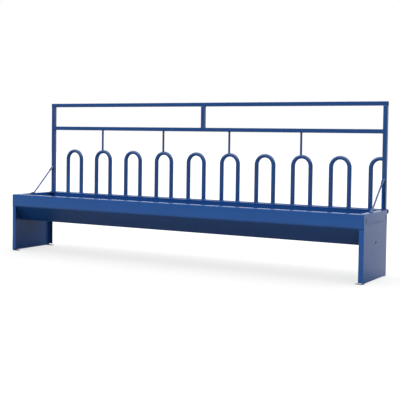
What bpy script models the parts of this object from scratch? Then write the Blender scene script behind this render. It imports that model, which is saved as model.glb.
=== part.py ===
"""Bunk feeder: a folded sheet-steel trough on two folded end panels, with a welded
tube head frame of ten hoops standing on a base rail behind the trough.

Metres, +Z up. +X runs along the trough, -Y is the front with the deep apron, and
the origin is on the floor under the middle of the overall box.
"""

import math

import bmesh
import bpy
from mathutils import Matrix, Vector

# Overall sizes: the trough is as long as its row of head places
HEAD_PLACES = 10
HEAD_PLACE = 0.300
LENGTH = HEAD_PLACES * HEAD_PLACE
DEPTH = 0.502

# Folded trough sheet
RIM_HEIGHT = 0.459
TROUGH_FLOOR_HEIGHT = 0.2456
APRON = 0.094
SLOPE_RUN = 0.100
LIP = 0.045
SHEET = 0.002
BEND_RADIUS = 0.004
BEND_STEPS = 3

# End panels and their feet
LEG_FLANGE = 0.034
BOTTOM_FLANGE = 0.014
CORNER_RELIEF = 0.003
FLANGE_TOP_RELIEF = 0.006
MITRE_CLEARANCE = 0.0007
FOOT_LENGTH = 0.056
FOOT_WIDTH = 0.040
FOOT_PLATE = 0.003
FOOT_CHAMFER = 0.004

# Head frame of square tube
TUBE = 0.030
TUBE_WALL = 0.002
TUBE_CORNER = 0.003
TUBE_CORNER_STEPS = 2
BASE_RAIL_RISE = 0.004
POST_INSET = 0.015
NECK_RAIL_HEIGHT = 1.005
TOP_RAIL_HEIGHT = 1.1995
STRUT_OFFSET = 0.008

# Hoops of round tube, nine whole and one that ends on the right post
HOOP_OD = 0.0318
HOOP_WALL = 0.002
HOOP_LEG_SPACING = 0.1396
HOOP_TOP_HEIGHT = 0.8275
HOOP_FLATTENING = 0.16
HALF_HOOP_OVERRUN = 0.015
HOOP_SIDES = 16
HOOP_ARC_STEPS = 12

# Round rods
HANGER_OD = 0.016
HANGER_OFFSET = 0.008
HANGER_COPE_SPAN = 60.0
HANGER_HOOPS = (2, 4, 6, 8)
STAY_OD = 0.012
STAY_FLAT_WIDTH = 0.022
STAY_FLAT_THICKNESS = 0.0043
STAY_TOP_HEIGHT = 0.677
STAY_FLAT_LENGTH = 0.040
STAY_FOOT_REACH = 0.262
STAY_TAPER = 0.020
STAY_SQUARENESS = 0.6
ROD_SIDES = 12

# Fasteners at the stay feet
BOLT_DIAMETER = 0.008
BOLT_LENGTH = 0.020
HEX_ACROSS_FLATS = 0.013
HEAD_HEIGHT = 0.0053
NUT_HEIGHT = 0.0065
HEX_CHAMFER = 0.0008
BOLT_HOLE_CLEARANCE = 0.0005
BOLT_SIDES = 16

# Clearance between pieces that touch
GAP = 0.0003

# Bends and turned faces shade smooth below this angle, in degrees
SMOOTH_ANGLE = 35.0

# Places worked out from the sizes above
HALF_LENGTH = LENGTH / 2
FRONT_Y = -DEPTH / 2
HOOP_PLANE_Y = DEPTH / 2 - HOOP_OD / 2
BACK_Y = HOOP_PLANE_Y - TUBE / 2 - GAP
TROUGH_CENTRE_Y = (FRONT_Y + BACK_Y) / 2
TROUGH_HALF_DEPTH = (BACK_Y - FRONT_Y) / 2
PANEL_BOTTOM = FOOT_PLATE + GAP
BASE_RAIL_TOP = RIM_HEIGHT + BASE_RAIL_RISE
FRAME_FOOT = BASE_RAIL_TOP + GAP
POST_X = HALF_LENGTH - POST_INSET - TUBE / 2
POST_INNER_X = POST_X - TUBE / 2
HOOP_HALF = HOOP_LEG_SPACING / 2
HOOP_PITCH = (2 * POST_INNER_X - HALF_HOOP_OVERRUN + HOOP_HALF + HOOP_OD / 2) / HEAD_PLACES
FIRST_HOOP_X = -POST_INNER_X + HOOP_PITCH - HOOP_HALF - HOOP_OD / 2
HOOP_ARC_HEIGHT = HOOP_TOP_HEIGHT - HOOP_HALF - HOOP_OD / 2 * (1 - HOOP_FLATTENING)
STAY_FOOT_Y = HOOP_PLANE_Y - TUBE / 2 - STAY_FOOT_REACH


def clear_scene():
    for item in list(bpy.data.objects):
        bpy.data.objects.remove(item, do_unlink=True)


def painted(name, colour, roughness, metallic):
    material = bpy.data.materials.new(name)
    material.use_nodes = True
    shader = material.node_tree.nodes["Principled BSDF"]
    shader.inputs["Base Color"].default_value = (*colour, 1.0)
    shader.inputs["Roughness"].default_value = roughness
    shader.inputs["Metallic"].default_value = metallic
    material.diffuse_color = (*colour, 1.0)
    return material


def blue_enamel(name):
    return painted(name, (0.021, 0.068, 0.238), 0.30, 0.0)


def galvanised(name):
    return painted(name, (0.42, 0.44, 0.44), 0.45, 1.0)


def add_object(name, bm, finish):
    mesh = bpy.data.meshes.new(name)
    bm.to_mesh(mesh)
    bm.free()
    mesh.shade_smooth()
    mesh.set_sharp_from_angle(angle=math.radians(SMOOTH_ANGLE))
    mesh.materials.append(finish(name + "_finish"))
    piece = bpy.data.objects.new(name, mesh)
    bpy.context.collection.objects.link(piece)
    return piece


def copy_of(source, name, finish):
    mesh = source.data.copy()
    mesh.materials.clear()
    mesh.materials.append(finish(name + "_finish"))
    piece = bpy.data.objects.new(name, mesh)
    bpy.context.collection.objects.link(piece)
    return piece


def hide_cutter(piece):
    piece.hide_render = True
    piece.display_type = "WIRE"


def cut(piece, cutter):
    modifier = piece.modifiers.new("cut_by_" + cutter.name, "BOOLEAN")
    modifier.operation = "DIFFERENCE"
    modifier.solver = "EXACT"
    modifier.object = cutter


def close_normals(bm):
    bmesh.ops.recalc_face_normals(bm, faces=bm.faces[:])


# Loops, pipes and lofts
def add_loop(bm, points):
    verts = [bm.verts.new(point) for point in points]
    return [bm.edges.new((verts[i - 1], verts[i])) for i in range(len(verts))]


def circle_points(radius, sides, first=0.0):
    """A circle's corners, the first one a share of a step round from +X."""
    step = math.tau / sides
    return [
        (radius * math.cos((i + first) * step), radius * math.sin((i + first) * step))
        for i in range(sides)
    ]


def rounded_square_points(size, corner):
    """A square's outline with its corners turned as arcs."""
    reach = size / 2 - corner
    points = []
    for quarter in range(4):
        turn = quarter * math.pi / 2
        centre_angle = turn + math.pi / 4
        centre = (
            math.copysign(reach, math.cos(centre_angle)),
            math.copysign(reach, math.sin(centre_angle)),
        )
        for i in range(TUBE_CORNER_STEPS + 1):
            angle = turn + i / TUBE_CORNER_STEPS * math.pi / 2
            points.append((centre[0] + corner * math.cos(angle), centre[1] + corner * math.sin(angle)))
    return points


def ring_faces(bm, outer_points, inner_points):
    """The end face of a pipe, drawn in the XY plane between two loops."""
    edges = add_loop(bm, [(x, y, 0.0) for x, y in outer_points])
    edges += add_loop(bm, [(x, y, 0.0) for x, y in inner_points])
    return bmesh.ops.bridge_loops(bm, edges=edges)["faces"]


def walls_at(faces):
    """True where faces are the end of a stretch that is already there."""
    return any(len(edge.link_faces) == 2 and not set(edge.link_faces) <= set(faces)
               for face in faces for edge in face.edges)


def push(bm, faces, offset):
    """Extrudes faces by an offset and gives the faces at the new end."""
    inner = faces if walls_at(faces) else []
    extruded = bmesh.ops.extrude_face_region(bm, geom=faces)["geom"]
    verts = [item for item in extruded if isinstance(item, bmesh.types.BMVert)]
    bmesh.ops.translate(bm, verts=verts, vec=offset)
    bmesh.ops.delete(bm, geom=[face for face in inner if face.is_valid], context="FACES_ONLY")
    return [item for item in extruded if isinstance(item, bmesh.types.BMFace)]


def turn(bm, faces, centre, axis, angle, steps):
    """Sweeps faces round an axis and gives the faces at the new end."""
    inner = faces if walls_at(faces) else []
    spun = bmesh.ops.spin(bm, geom=faces, cent=centre, axis=axis, angle=angle, steps=steps)
    end = [item for item in spun["geom_last"] if isinstance(item, bmesh.types.BMFace)]
    bmesh.ops.delete(bm, geom=[face for face in inner if face.is_valid], context="FACES_ONLY")
    return end


# Folded sheet
def fold_corner(bm, edge, centre, axis, angle):
    """Bends the sheet on from its free edge and gives the new free edge."""
    geom = [edge, *edge.verts]
    spun = bmesh.ops.spin(bm, geom=geom, cent=centre, axis=axis, angle=angle, steps=BEND_STEPS)
    return next(item for item in spun["geom_last"] if isinstance(item, bmesh.types.BMEdge))


def lay_flat(bm, edge, offset):
    """Runs the sheet on flat from its free edge and gives the new free edge."""
    extruded = bmesh.ops.extrude_edge_only(bm, edges=[edge])["geom"]
    verts = [item for item in extruded if isinstance(item, bmesh.types.BMVert)]
    bmesh.ops.translate(bm, verts=verts, vec=offset)
    return next(item for item in extruded if isinstance(item, bmesh.types.BMEdge))


def face_outwards(bm, probe_normal):
    """Points every face of an open sheet out, judged by the largest face."""
    close_normals(bm)
    bm.normal_update()
    largest = max(bm.faces, key=lambda face: face.calc_area())
    if largest.normal.dot(probe_normal) < 0:
        bmesh.ops.reverse_faces(bm, faces=bm.faces[:])


def thicken_inwards(piece):
    wall = piece.modifiers.new("sheet", "SOLIDIFY")
    wall.thickness = SHEET
    wall.offset = -1.0
    wall.use_even_offset = True


def fold_profile(bm, corners):
    """Folds a sheet as wide as the trough through the sharp corners of its section."""
    half = HALF_LENGTH - SHEET - GAP
    start = corners[0]
    ends = [bm.verts.new((x, start.y, start.z)) for x in (-half, half)]
    edge = bm.edges.new(ends)
    place = start
    for before, corner, after in zip(corners, corners[1:], corners[2:]):
        arriving = (corner - before).normalized()
        leaving = (after - corner).normalized()
        angle = arriving.angle(leaving)
        tangent = BEND_RADIUS * math.tan(angle / 2)
        axis = arriving.cross(leaving).normalized()
        bend_start = corner - arriving * tangent
        centre = bend_start + axis.cross(arriving) * BEND_RADIUS
        edge = lay_flat(bm, edge, bend_start - place)
        edge = fold_corner(bm, edge, centre, axis, angle)
        place = corner + leaving * tangent
    lay_flat(bm, edge, corners[-1] - place)


def mitre_trough_lips(bm):
    """Cuts the lips back at 45 degrees, where the end panels' lips meet them."""
    for vert in bm.verts:
        from_wall = TROUGH_HALF_DEPTH - abs(vert.co.y)
        if vert.co.z > RIM_HEIGHT - GAP and from_wall > BEND_RADIUS - GAP:
            vert.co.x = math.copysign(HALF_LENGTH - from_wall - MITRE_CLEARANCE, vert.co.x)


def trough_body():
    bm = bmesh.new()
    wall = TROUGH_HALF_DEPTH
    apron_foot = RIM_HEIGHT - APRON
    half_section = [
        Vector((0, -wall + LIP, RIM_HEIGHT)),
        Vector((0, -wall, RIM_HEIGHT)),
        Vector((0, -wall, apron_foot)),
        Vector((0, -wall + SLOPE_RUN, TROUGH_FLOOR_HEIGHT)),
    ]
    other_half = [Vector((0, -point.y, point.z)) for point in reversed(half_section)]
    fold_profile(bm, half_section + other_half)
    mitre_trough_lips(bm)
    face_outwards(bm, Vector((0, 0, -1)))
    trough = add_object("trough_body", bm, blue_enamel)
    trough.location = (0, TROUGH_CENTRE_Y, 0)
    thicken_inwards(trough)
    return trough


def fold_flange(bm, edge, outwards, width):
    """Folds a flange inwards along an edge of the web, which faces +X."""
    inwards = Vector((-1, 0, 0))
    centre = edge.verts[0].co + inwards * BEND_RADIUS
    edge = fold_corner(bm, edge, centre, (-inwards).cross(outwards), math.pi / 2)
    return lay_flat(bm, edge, inwards * (width - BEND_RADIUS))


def web_outline():
    """The flat web of an end panel, notched where its flanges fold."""
    wall = TROUGH_HALF_DEPTH
    fold = wall - BEND_RADIUS
    top_fold = RIM_HEIGHT - BEND_RADIUS
    bottom_fold = PANEL_BOTTOM + BEND_RADIUS
    lip_start = fold - MITRE_CLEARANCE
    flange_top = RIM_HEIGHT - APRON - FLANGE_TOP_RELIEF
    flange_bottom = bottom_fold + CORNER_RELIEF
    bottom_start = fold - CORNER_RELIEF
    half = [
        (lip_start, top_fold),
        (wall, top_fold),
        (wall, flange_top + GAP),
        (fold, flange_top + GAP),
        (fold, flange_top),
        (fold, flange_bottom),
        (fold, bottom_fold),
        (bottom_start, bottom_fold),
    ]
    return half + [(-y, z) for y, z in reversed(half)]


def end_panel_mesh():
    bm = bmesh.new()
    outline = web_outline()
    verts = [bm.verts.new((HALF_LENGTH, y, z)) for y, z in outline]
    bm.faces.new(verts)
    bm.edges.ensure_lookup_table()
    back_side = bm.edges.get((verts[4], verts[5]))
    bottom_side = bm.edges.get((verts[7], verts[8]))
    front_side = bm.edges.get((verts[10], verts[11]))
    top_side = bm.edges.get((verts[15], verts[0]))
    fold_flange(bm, back_side, Vector((0, 1, 0)), LEG_FLANGE)
    fold_flange(bm, bottom_side, Vector((0, 0, -1)), BOTTOM_FLANGE)
    fold_flange(bm, front_side, Vector((0, -1, 0)), LEG_FLANGE)
    lip_edge = fold_flange(bm, top_side, Vector((0, 0, 1)), LIP)
    for vert in lip_edge.verts:
        vert.co.y = math.copysign(TROUGH_HALF_DEPTH - LIP - MITRE_CLEARANCE, vert.co.y)
    face_outwards(bm, Vector((1, 0, 0)))
    return bm


def end_panels():
    right = add_object("right_end_panel", end_panel_mesh(), blue_enamel)
    left = copy_of(right, "left_end_panel", blue_enamel)
    left.rotation_euler = (0, 0, math.pi)
    for panel in (left, right):
        panel.location = (0, TROUGH_CENTRE_Y, 0)
        thicken_inwards(panel)
    return left, right


def foot_plates():
    for end_name, side in (("left", -1), ("right", 1)):
        for row_name, y in (("front", FRONT_Y + FOOT_WIDTH / 2), ("back", BACK_Y - FOOT_WIDTH / 2)):
            bm = bmesh.new()
            bmesh.ops.create_cube(bm, size=1.0)
            bmesh.ops.scale(bm, vec=(FOOT_LENGTH, FOOT_WIDTH, FOOT_PLATE), verts=bm.verts)
            upright = [e for e in bm.edges if abs(e.verts[0].co.z - e.verts[1].co.z) > FOOT_PLATE / 2]
            bmesh.ops.bevel(bm, geom=upright, offset=FOOT_CHAMFER, segments=1, affect="EDGES")
            plate = add_object(f"{end_name}_{row_name}_foot", bm, galvanised)
            plate.location = (side * (HALF_LENGTH - FOOT_LENGTH / 2), y, FOOT_PLATE / 2)


# Head frame
def square_tube(name, length, start, direction):
    """An open-ended square tube that runs from its start along a direction."""
    bm = bmesh.new()
    outer = rounded_square_points(TUBE, TUBE_CORNER)
    inner = rounded_square_points(TUBE - 2 * TUBE_WALL, TUBE_CORNER - TUBE_WALL)
    push(bm, ring_faces(bm, outer, inner), (0, 0, length))
    close_normals(bm)
    tube = add_object(name, bm, blue_enamel)
    tube.rotation_mode = "QUATERNION"
    tube.rotation_quaternion = Vector(direction).to_track_quat("Z", "Y")
    tube.location = start
    return tube


def head_frame_tubes():
    rail = (1, 0, 0)
    upright = (0, 0, 1)
    post_height = TOP_RAIL_HEIGHT - TUBE / 2 - GAP - FRAME_FOOT
    neck_top = NECK_RAIL_HEIGHT + TUBE / 2 + GAP
    top_half = POST_X + TUBE / 2
    neck_half = POST_INNER_X - GAP
    y = HOOP_PLANE_Y
    square_tube("base_rail", LENGTH, (-HALF_LENGTH, y, BASE_RAIL_TOP - TUBE / 2), rail)
    square_tube("left_post", post_height, (-POST_X, y, FRAME_FOOT), upright)
    square_tube("right_post", post_height, (POST_X, y, FRAME_FOOT), upright)
    square_tube("top_rail", 2 * top_half, (-top_half, y, TOP_RAIL_HEIGHT), rail)
    square_tube("neck_rail", 2 * neck_half, (-neck_half, y, NECK_RAIL_HEIGHT), rail)
    strut_height = TOP_RAIL_HEIGHT - TUBE / 2 - GAP - neck_top
    square_tube("center_strut", strut_height, (STRUT_OFFSET, y, neck_top), upright)


def hoop_x(number):
    return FIRST_HOOP_X + (number - 1) * HOOP_PITCH


def flatten_bend(bm):
    """Draws the tube in across the bend, as bending does, most of all at the crown."""
    for vert in bm.verts:
        height = vert.co.z - HOOP_ARC_HEIGHT
        if height <= 0:
            continue
        out = Vector((vert.co.x, 0, height))
        crown = (height / out.length) ** 2
        new_length = HOOP_HALF + (out.length - HOOP_HALF) * (1 - HOOP_FLATTENING * crown)
        out *= new_length / out.length
        vert.co.x = out.x
        vert.co.z = HOOP_ARC_HEIGHT + out.z


def hoop_mesh():
    """A tube up from the base rail, over the hoop's arc and down to the rail again."""
    bm = bmesh.new()
    section = ring_faces(
        bm,
        circle_points(HOOP_OD / 2, HOOP_SIDES),
        circle_points(HOOP_OD / 2 - HOOP_WALL, HOOP_SIDES),
    )
    bmesh.ops.translate(bm, verts=bm.verts, vec=(-HOOP_HALF, 0, FRAME_FOOT))
    leg = (0, 0, HOOP_ARC_HEIGHT - FRAME_FOOT)
    section = push(bm, section, leg)
    section = turn(bm, section, (0, 0, HOOP_ARC_HEIGHT), (0, 1, 0), math.pi, HOOP_ARC_STEPS)
    push(bm, section, -Vector(leg))
    flatten_bend(bm)
    close_normals(bm)
    return bm


def trim_half_hoop(bm, reach):
    """Saws the hoop upright where it meets the post and closes the sawn end."""
    geom = bm.verts[:] + bm.edges[:] + bm.faces[:]
    sawn = bmesh.ops.bisect_plane(bm, geom=geom, plane_co=(reach, 0, 0), plane_no=(1, 0, 0), clear_outer=True)
    edges = [item for item in sawn["geom_cut"] if isinstance(item, bmesh.types.BMEdge)]
    bmesh.ops.bridge_loops(bm, edges=edges)
    close_normals(bm)


def hoops():
    whole = add_object("hoop_1", hoop_mesh(), blue_enamel)
    whole.location = (hoop_x(1), HOOP_PLANE_Y, 0)
    for number in range(2, HEAD_PLACES):
        hoop = copy_of(whole, f"hoop_{number}", blue_enamel)
        hoop.location = (hoop_x(number), HOOP_PLANE_Y, 0)
    bm = hoop_mesh()
    trim_half_hoop(bm, POST_INNER_X - GAP - hoop_x(HEAD_PLACES))
    half = add_object(f"half_hoop_{HEAD_PLACES}", bm, blue_enamel)
    half.location = (hoop_x(HEAD_PLACES), HOOP_PLANE_Y, 0)


def crown_cutter(number):
    """The hoop's crown, larger all round by the clearance, to cope a hanger to it."""
    bm = bmesh.new()
    radius = HOOP_OD / 2 + GAP
    span = math.radians(HANGER_COPE_SPAN)
    edges = add_loop(bm, [(x, y, 0.0) for x, y in circle_points(radius, HOOP_SIDES)])
    section = [bm.faces.new(list(dict.fromkeys(v for e in edges for v in e.verts)))]
    bmesh.ops.translate(bm, verts=bm.verts, vec=(-HOOP_HALF, 0, HOOP_ARC_HEIGHT))
    start = Matrix.Rotation((math.pi - span) / 2, 4, "Y")
    lift = Matrix.Translation((0, 0, HOOP_ARC_HEIGHT))
    bmesh.ops.transform(bm, matrix=lift @ start @ lift.inverted(), verts=bm.verts)
    turn(bm, section, (0, 0, HOOP_ARC_HEIGHT), (0, 1, 0), span, HOOP_ARC_STEPS)
    flatten_bend(bm)
    close_normals(bm)
    cutter = add_object(f"crown_cutter_{number}", bm, galvanised)
    cutter.location = (hoop_x(number), HOOP_PLANE_Y, 0)
    hide_cutter(cutter)
    return cutter


def hanger_rods():
    top = NECK_RAIL_HEIGHT - TUBE / 2 - GAP
    bottom = HOOP_TOP_HEIGHT - HANGER_OD / 2
    for index, number in enumerate(HANGER_HOOPS, start=1):
        bm = bmesh.new()
        bmesh.ops.create_cone(
            bm,
            cap_ends=True,
            segments=ROD_SIDES,
            radius1=HANGER_OD / 2,
            radius2=HANGER_OD / 2,
            depth=top - bottom,
        )
        rod = add_object(f"hanger_rod_{index}", bm, blue_enamel)
        rod.location = (hoop_x(number) - HANGER_OFFSET, HOOP_PLANE_Y, (top + bottom) / 2)
        cut(rod, crown_cutter(number))


# Stays
def flattened_section(blend):
    """The rod's round section at 0, pressed flat and wide at 1, thin along its normal."""
    half_width = STAY_OD / 2 + (STAY_FLAT_WIDTH - STAY_OD) / 2 * blend
    half_thickness = STAY_OD / 2 + (STAY_FLAT_THICKNESS - STAY_OD) / 2 * blend
    points = []
    for x, n in circle_points(1.0, ROD_SIDES, first=0.5):
        squared = n + (math.copysign(1, n) - n) * STAY_SQUARENESS * blend
        points.append((half_width * x, half_thickness * squared))
    return points


def stay_line():
    """Points of the stay's centre line from its foot, each with its share of flattening."""
    half_flat = STAY_FLAT_THICKNESS / 2
    post_face = HOOP_PLANE_Y - TUBE / 2 - GAP
    foot_end = Vector((0, STAY_FOOT_Y + STAY_FLAT_LENGTH / 2, RIM_HEIGHT + GAP + half_flat))
    run = (Vector((0, post_face, STAY_TOP_HEIGHT)) - foot_end).normalized()
    top_end = foot_end + run * ((post_face - run.z * half_flat - foot_end.y) / run.y)
    top_start = top_end - run * STAY_FLAT_LENGTH
    return [
        (foot_end - Vector((0, STAY_FLAT_LENGTH, 0)), 1.0),
        (foot_end, 1.0),
        (foot_end + run * STAY_TAPER, 0.0),
        (top_start - run * STAY_TAPER, 0.0),
        (top_start, 1.0),
        (top_end, 1.0),
    ]


def stay_mesh():
    """Lofts a rod pressed flat at its ends, one bent to lie on the lip, one run straight to the post."""
    line = stay_line()
    bm = bmesh.new()
    loops = []
    for i, (place, blend) in enumerate(line):
        before = (place - line[i - 1][0]).normalized() if i > 0 else None
        after = (line[i + 1][0] - place).normalized() if i + 1 < len(line) else None
        along = ((before or after) + (after or before)).normalized()
        stretch = 1 / along.dot(after or before)
        normal = Vector((1, 0, 0)).cross(along)
        ring = [place + Vector((x, 0, 0)) + normal * n * stretch for x, n in flattened_section(blend)]
        loops.append(add_loop(bm, ring))
    for lower, upper in zip(loops, loops[1:]):
        bmesh.ops.bridge_loops(bm, edges=lower + upper)
    bmesh.ops.holes_fill(bm, edges=loops[0] + loops[-1], sides=0)
    close_normals(bm)
    return bm


def stays():
    left = add_object("left_stay", stay_mesh(), blue_enamel)
    right = copy_of(left, "right_stay", blue_enamel)
    left.location = (-POST_X, 0, 0)
    right.location = (POST_X, 0, 0)
    return left, right


# Fasteners
def hexagon_points():
    return circle_points(HEX_ACROSS_FLATS / math.sqrt(3), 6)


def ordered_ring(verts):
    return sorted(verts, key=lambda vert: math.atan2(vert.co.y, vert.co.x))


def chamfer_top(bm, height):
    top = [edge for edge in bm.edges if min(vert.co.z for vert in edge.verts) > height - GAP]
    bmesh.ops.bevel(bm, geom=top, offset=HEX_CHAMFER, segments=1, affect="EDGES")


def bolt_mesh():
    """A hexagon head with its shank below, its seat at height 0."""
    bm = bmesh.new()
    shank = add_loop(bm, [(x, y, 0.0) for x, y in circle_points(BOLT_DIAMETER / 2, BOLT_SIDES)])
    seat = add_loop(bm, [(x, y, 0.0) for x, y in hexagon_points()])
    bmesh.ops.triangle_fill(bm, edges=shank + seat, use_beauty=True)
    head = bmesh.ops.extrude_edge_only(bm, edges=seat)["geom"]
    head_verts = [item for item in head if isinstance(item, bmesh.types.BMVert)]
    bmesh.ops.translate(bm, verts=head_verts, vec=(0, 0, HEAD_HEIGHT))
    bm.faces.new(ordered_ring(head_verts))
    tip = bmesh.ops.extrude_edge_only(bm, edges=shank)["geom"]
    tip_verts = [item for item in tip if isinstance(item, bmesh.types.BMVert)]
    bmesh.ops.translate(bm, verts=tip_verts, vec=(0, 0, -BOLT_LENGTH))
    bm.faces.new(ordered_ring(tip_verts))
    close_normals(bm)
    chamfer_top(bm, HEAD_HEIGHT)
    return bm


def nut_mesh():
    """A hexagon nut from height 0 up, bored to pass the bolt."""
    bm = bmesh.new()
    bore = add_loop(bm, [(x, y, 0.0) for x, y in circle_points(BOLT_DIAMETER / 2 + GAP, BOLT_SIDES)])
    rim = add_loop(bm, [(x, y, 0.0) for x, y in hexagon_points()])
    filled = bmesh.ops.triangle_fill(bm, edges=bore + rim, use_beauty=True)["geom"]
    faces = [item for item in filled if isinstance(item, bmesh.types.BMFace)]
    push(bm, faces, (0, 0, NUT_HEIGHT))
    close_normals(bm)
    return bm


def stay_fasteners(stay_pair, panel_pair):
    head_seat = RIM_HEIGHT + GAP + STAY_FLAT_THICKNESS + GAP
    nut_seat = RIM_HEIGHT - SHEET - GAP - NUT_HEIGHT
    for end_name, side, stay, panel in zip(("left", "right"), (-1, 1), stay_pair, panel_pair):
        bolt = add_object(f"{end_name}_stay_bolt", bolt_mesh(), galvanised)
        bolt.location = (side * POST_X, STAY_FOOT_Y, head_seat)
        nut = add_object(f"{end_name}_stay_nut", nut_mesh(), galvanised)
        nut.location = (side * POST_X, STAY_FOOT_Y, nut_seat)
        bm = bmesh.new()
        radius = BOLT_DIAMETER / 2 + BOLT_HOLE_CLEARANCE
        bmesh.ops.create_cone(
            bm, cap_ends=True, segments=BOLT_SIDES, radius1=radius, radius2=radius, depth=2 * BOLT_LENGTH
        )
        drill = add_object(f"{end_name}_drill", bm, galvanised)
        drill.location = (side * POST_X, STAY_FOOT_Y, RIM_HEIGHT)
        hide_cutter(drill)
        cut(stay, drill)
        cut(panel, drill)


def build():
    clear_scene()
    trough_body()
    panel_pair = end_panels()
    foot_plates()
    head_frame_tubes()
    hoops()
    hanger_rods()
    stay_pair = stays()
    stay_fasteners(stay_pair, panel_pair)


build()
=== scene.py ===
"""The bunk feeder dressed for its picture: folded sheets, bent tubes, rods and weld
beads in blue enamel, with zinc fasteners and feet, on a white studio floor."""

import math

import bmesh
import bpy
from mathutils import Matrix, Vector


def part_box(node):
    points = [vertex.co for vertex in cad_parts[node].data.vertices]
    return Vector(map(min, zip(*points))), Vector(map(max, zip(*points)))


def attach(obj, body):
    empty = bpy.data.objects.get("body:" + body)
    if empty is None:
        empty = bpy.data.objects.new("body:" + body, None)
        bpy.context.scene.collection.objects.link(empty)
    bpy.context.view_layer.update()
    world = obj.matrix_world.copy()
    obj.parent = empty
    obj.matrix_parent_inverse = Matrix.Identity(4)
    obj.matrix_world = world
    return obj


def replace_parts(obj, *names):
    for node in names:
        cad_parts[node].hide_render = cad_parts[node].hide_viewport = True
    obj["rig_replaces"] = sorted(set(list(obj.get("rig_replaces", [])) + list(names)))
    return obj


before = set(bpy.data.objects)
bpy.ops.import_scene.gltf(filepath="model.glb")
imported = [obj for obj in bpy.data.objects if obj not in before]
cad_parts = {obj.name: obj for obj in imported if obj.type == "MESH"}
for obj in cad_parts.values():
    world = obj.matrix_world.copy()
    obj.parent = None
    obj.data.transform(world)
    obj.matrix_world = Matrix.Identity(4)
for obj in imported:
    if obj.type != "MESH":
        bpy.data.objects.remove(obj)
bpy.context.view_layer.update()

# Sizes of the sheet and tube stock, in metres, as the frame was built
SHEET = 0.002
BEND_RADIUS = 0.004
LIP = 0.045
APRON = 0.094
SLOPE_RUN = 0.100
LEG_FLANGE = 0.034
BOTTOM_FLANGE = 0.014
RELIEF = 0.003
FLANGE_TOP_RELIEF = 0.006
MITRE_CLEARANCE = 0.0007
TUBE_WALL = 0.002
TUBE_CORNER = 0.003
HOOP_FLATTENING = 0.16
STAY_OD = 0.012
STAY_FLAT = 0.0043
STAY_FLAT_LENGTH = 0.040
STAY_TAPER = 0.020
STAY_KNEE = 0.004
STAY_SQUARENESS = 0.7
FOOT_CORNER = 0.004
BOLT_DIAMETER = 0.008
THREAD_PITCH = 0.00125
THREAD_DEPTH = 0.6 * THREAD_PITCH
PLAIN_SHANK = 0.006
BOLT_POINT = 0.001
BOLT_POINT_TAPER = 0.8
SHANK_IN_HEAD = 0.001
NUT_BORE_CLEARANCE = 0.0002

# How far edges are rounded or chamfered
TUBE_END_ROUNDING = 0.0004
SHEET_EDGE_ROUNDING = 0.0003
PLATE_EDGE_ROUNDING = 0.0005
HEX_CHAMFER = 0.0007
HEX_CORNER_ROUNDING = 0.0003

# Weld beads: radius by place, and the length of one ripple
WELD = 0.0024
STITCH_WELD = 0.0019
ROD_WELD = 0.0018
FOOT_WELD = 0.0017
STAY_WELD = 0.0016
MITRE_WELD = 0.0013
RIPPLE = 0.0022
RIPPLE_SWELL = 1.18
STITCH_HALF_LENGTH = 0.020
STAY_WELD_HALF_LENGTH = 0.009

# Where the beads lie: how far out of a corner or into a face, and what they leave free at a foot
BEAD_LIFT = 0.0005
ROD_BEAD_LIFT = 0.0003
BEAD_INSET = 0.85 * WELD
SEAM_INSET = 0.0014
MITRE_WELD_DEPTH = 0.0009
STITCH_WELD_DEPTH = 0.0012
FOOT_WELD_FRONT_GAP = 0.010
FOOT_WELD_BACK_GAP = 0.003

# Places read from the frame
TROUGH_LOW, TROUGH_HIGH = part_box("trough_body")
PANEL_LOW, PANEL_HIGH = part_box("right_end_panel")
RAIL_LOW, RAIL_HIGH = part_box("base_rail")
POST_LOW, POST_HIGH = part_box("right_post")
HOOP_LOW, HOOP_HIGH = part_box("hoop_1")
RIM = TROUGH_HIGH.z
WALL = (TROUGH_HIGH.y - TROUGH_LOW.y) / 2
TROUGH_CENTRE_Y = (TROUGH_HIGH.y + TROUGH_LOW.y) / 2
HALF_LENGTH = PANEL_HIGH.x
HOOP_PLANE_Y = (RAIL_LOW.y + RAIL_HIGH.y) / 2
POST_X = (POST_LOW.x + POST_HIGH.x) / 2
TUBE = RAIL_HIGH.z - RAIL_LOW.z
HOOP_OD = HOOP_HIGH.y - HOOP_LOW.y
HOOP_HALF = (HOOP_HIGH.x - HOOP_LOW.x - HOOP_OD) / 2
HOOP_ARC_HEIGHT = HOOP_HIGH.z - HOOP_HALF - HOOP_OD / 2 * (1 - HOOP_FLATTENING)

# How near counts as the same place, and the gap where two pieces all but touch
TOUCH = 1e-5
CLOSE = 0.0001

# The share of a normal along an axis that faces it, and the least angle of a fold in radians
FACING = 0.9
FOLD_ANGLE = 0.3

# Fineness of the rounded shapes
TUBE_SIDES = 32
ARC_STEPS = 32
BEND_SEGMENTS = 6
ROD_SIDES = 24
TAPER_STEPS = 6

# Welds that show through the end sheets as dents, with painted shade in each: place along Y and Z,
# half width, half height and depth
END_MARKS = (
    (-0.208, 0.412, 0.018, 0.030, 0.85),
    (0.189, 0.410, 0.018, 0.026, 0.85),
    (0.189, 0.356, 0.016, 0.020, 0.4),
    (-0.013, 0.255, 0.026, 0.015, 0.95),
    (-0.097, 0.270, 0.022, 0.013, 0.3),
    (-0.010, 0.391, 0.260, 0.012, 0.35),
)
# The painted shade in the weld dents
PAINTED_DENT_SHADE = "#142E5C"

# The enamel's colour on the sheets and on the tubes, thin and thick, and how wavy that stock is
SHEET_BLUE = "#1F4E8E"
SHEET_BLUE_THICK = "#1C4986"
SHEET_WAVINESS = 0.0006
TUBE_BLUE = "#1B447E"
TUBE_BLUE_THICK = "#194074"
TUBE_WAVINESS = 0.0001

# The photograph's camera
CAMERA_PLACE = (3.4547, -5.7855, 0.9586)
CAMERA_YAW = 29.959
CAMERA_PITCH = 2.211
CAMERA_ROLL = 0.775
CAMERA_LENS = 80.202
CAMERA_SHIFT_Y = -0.075

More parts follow.
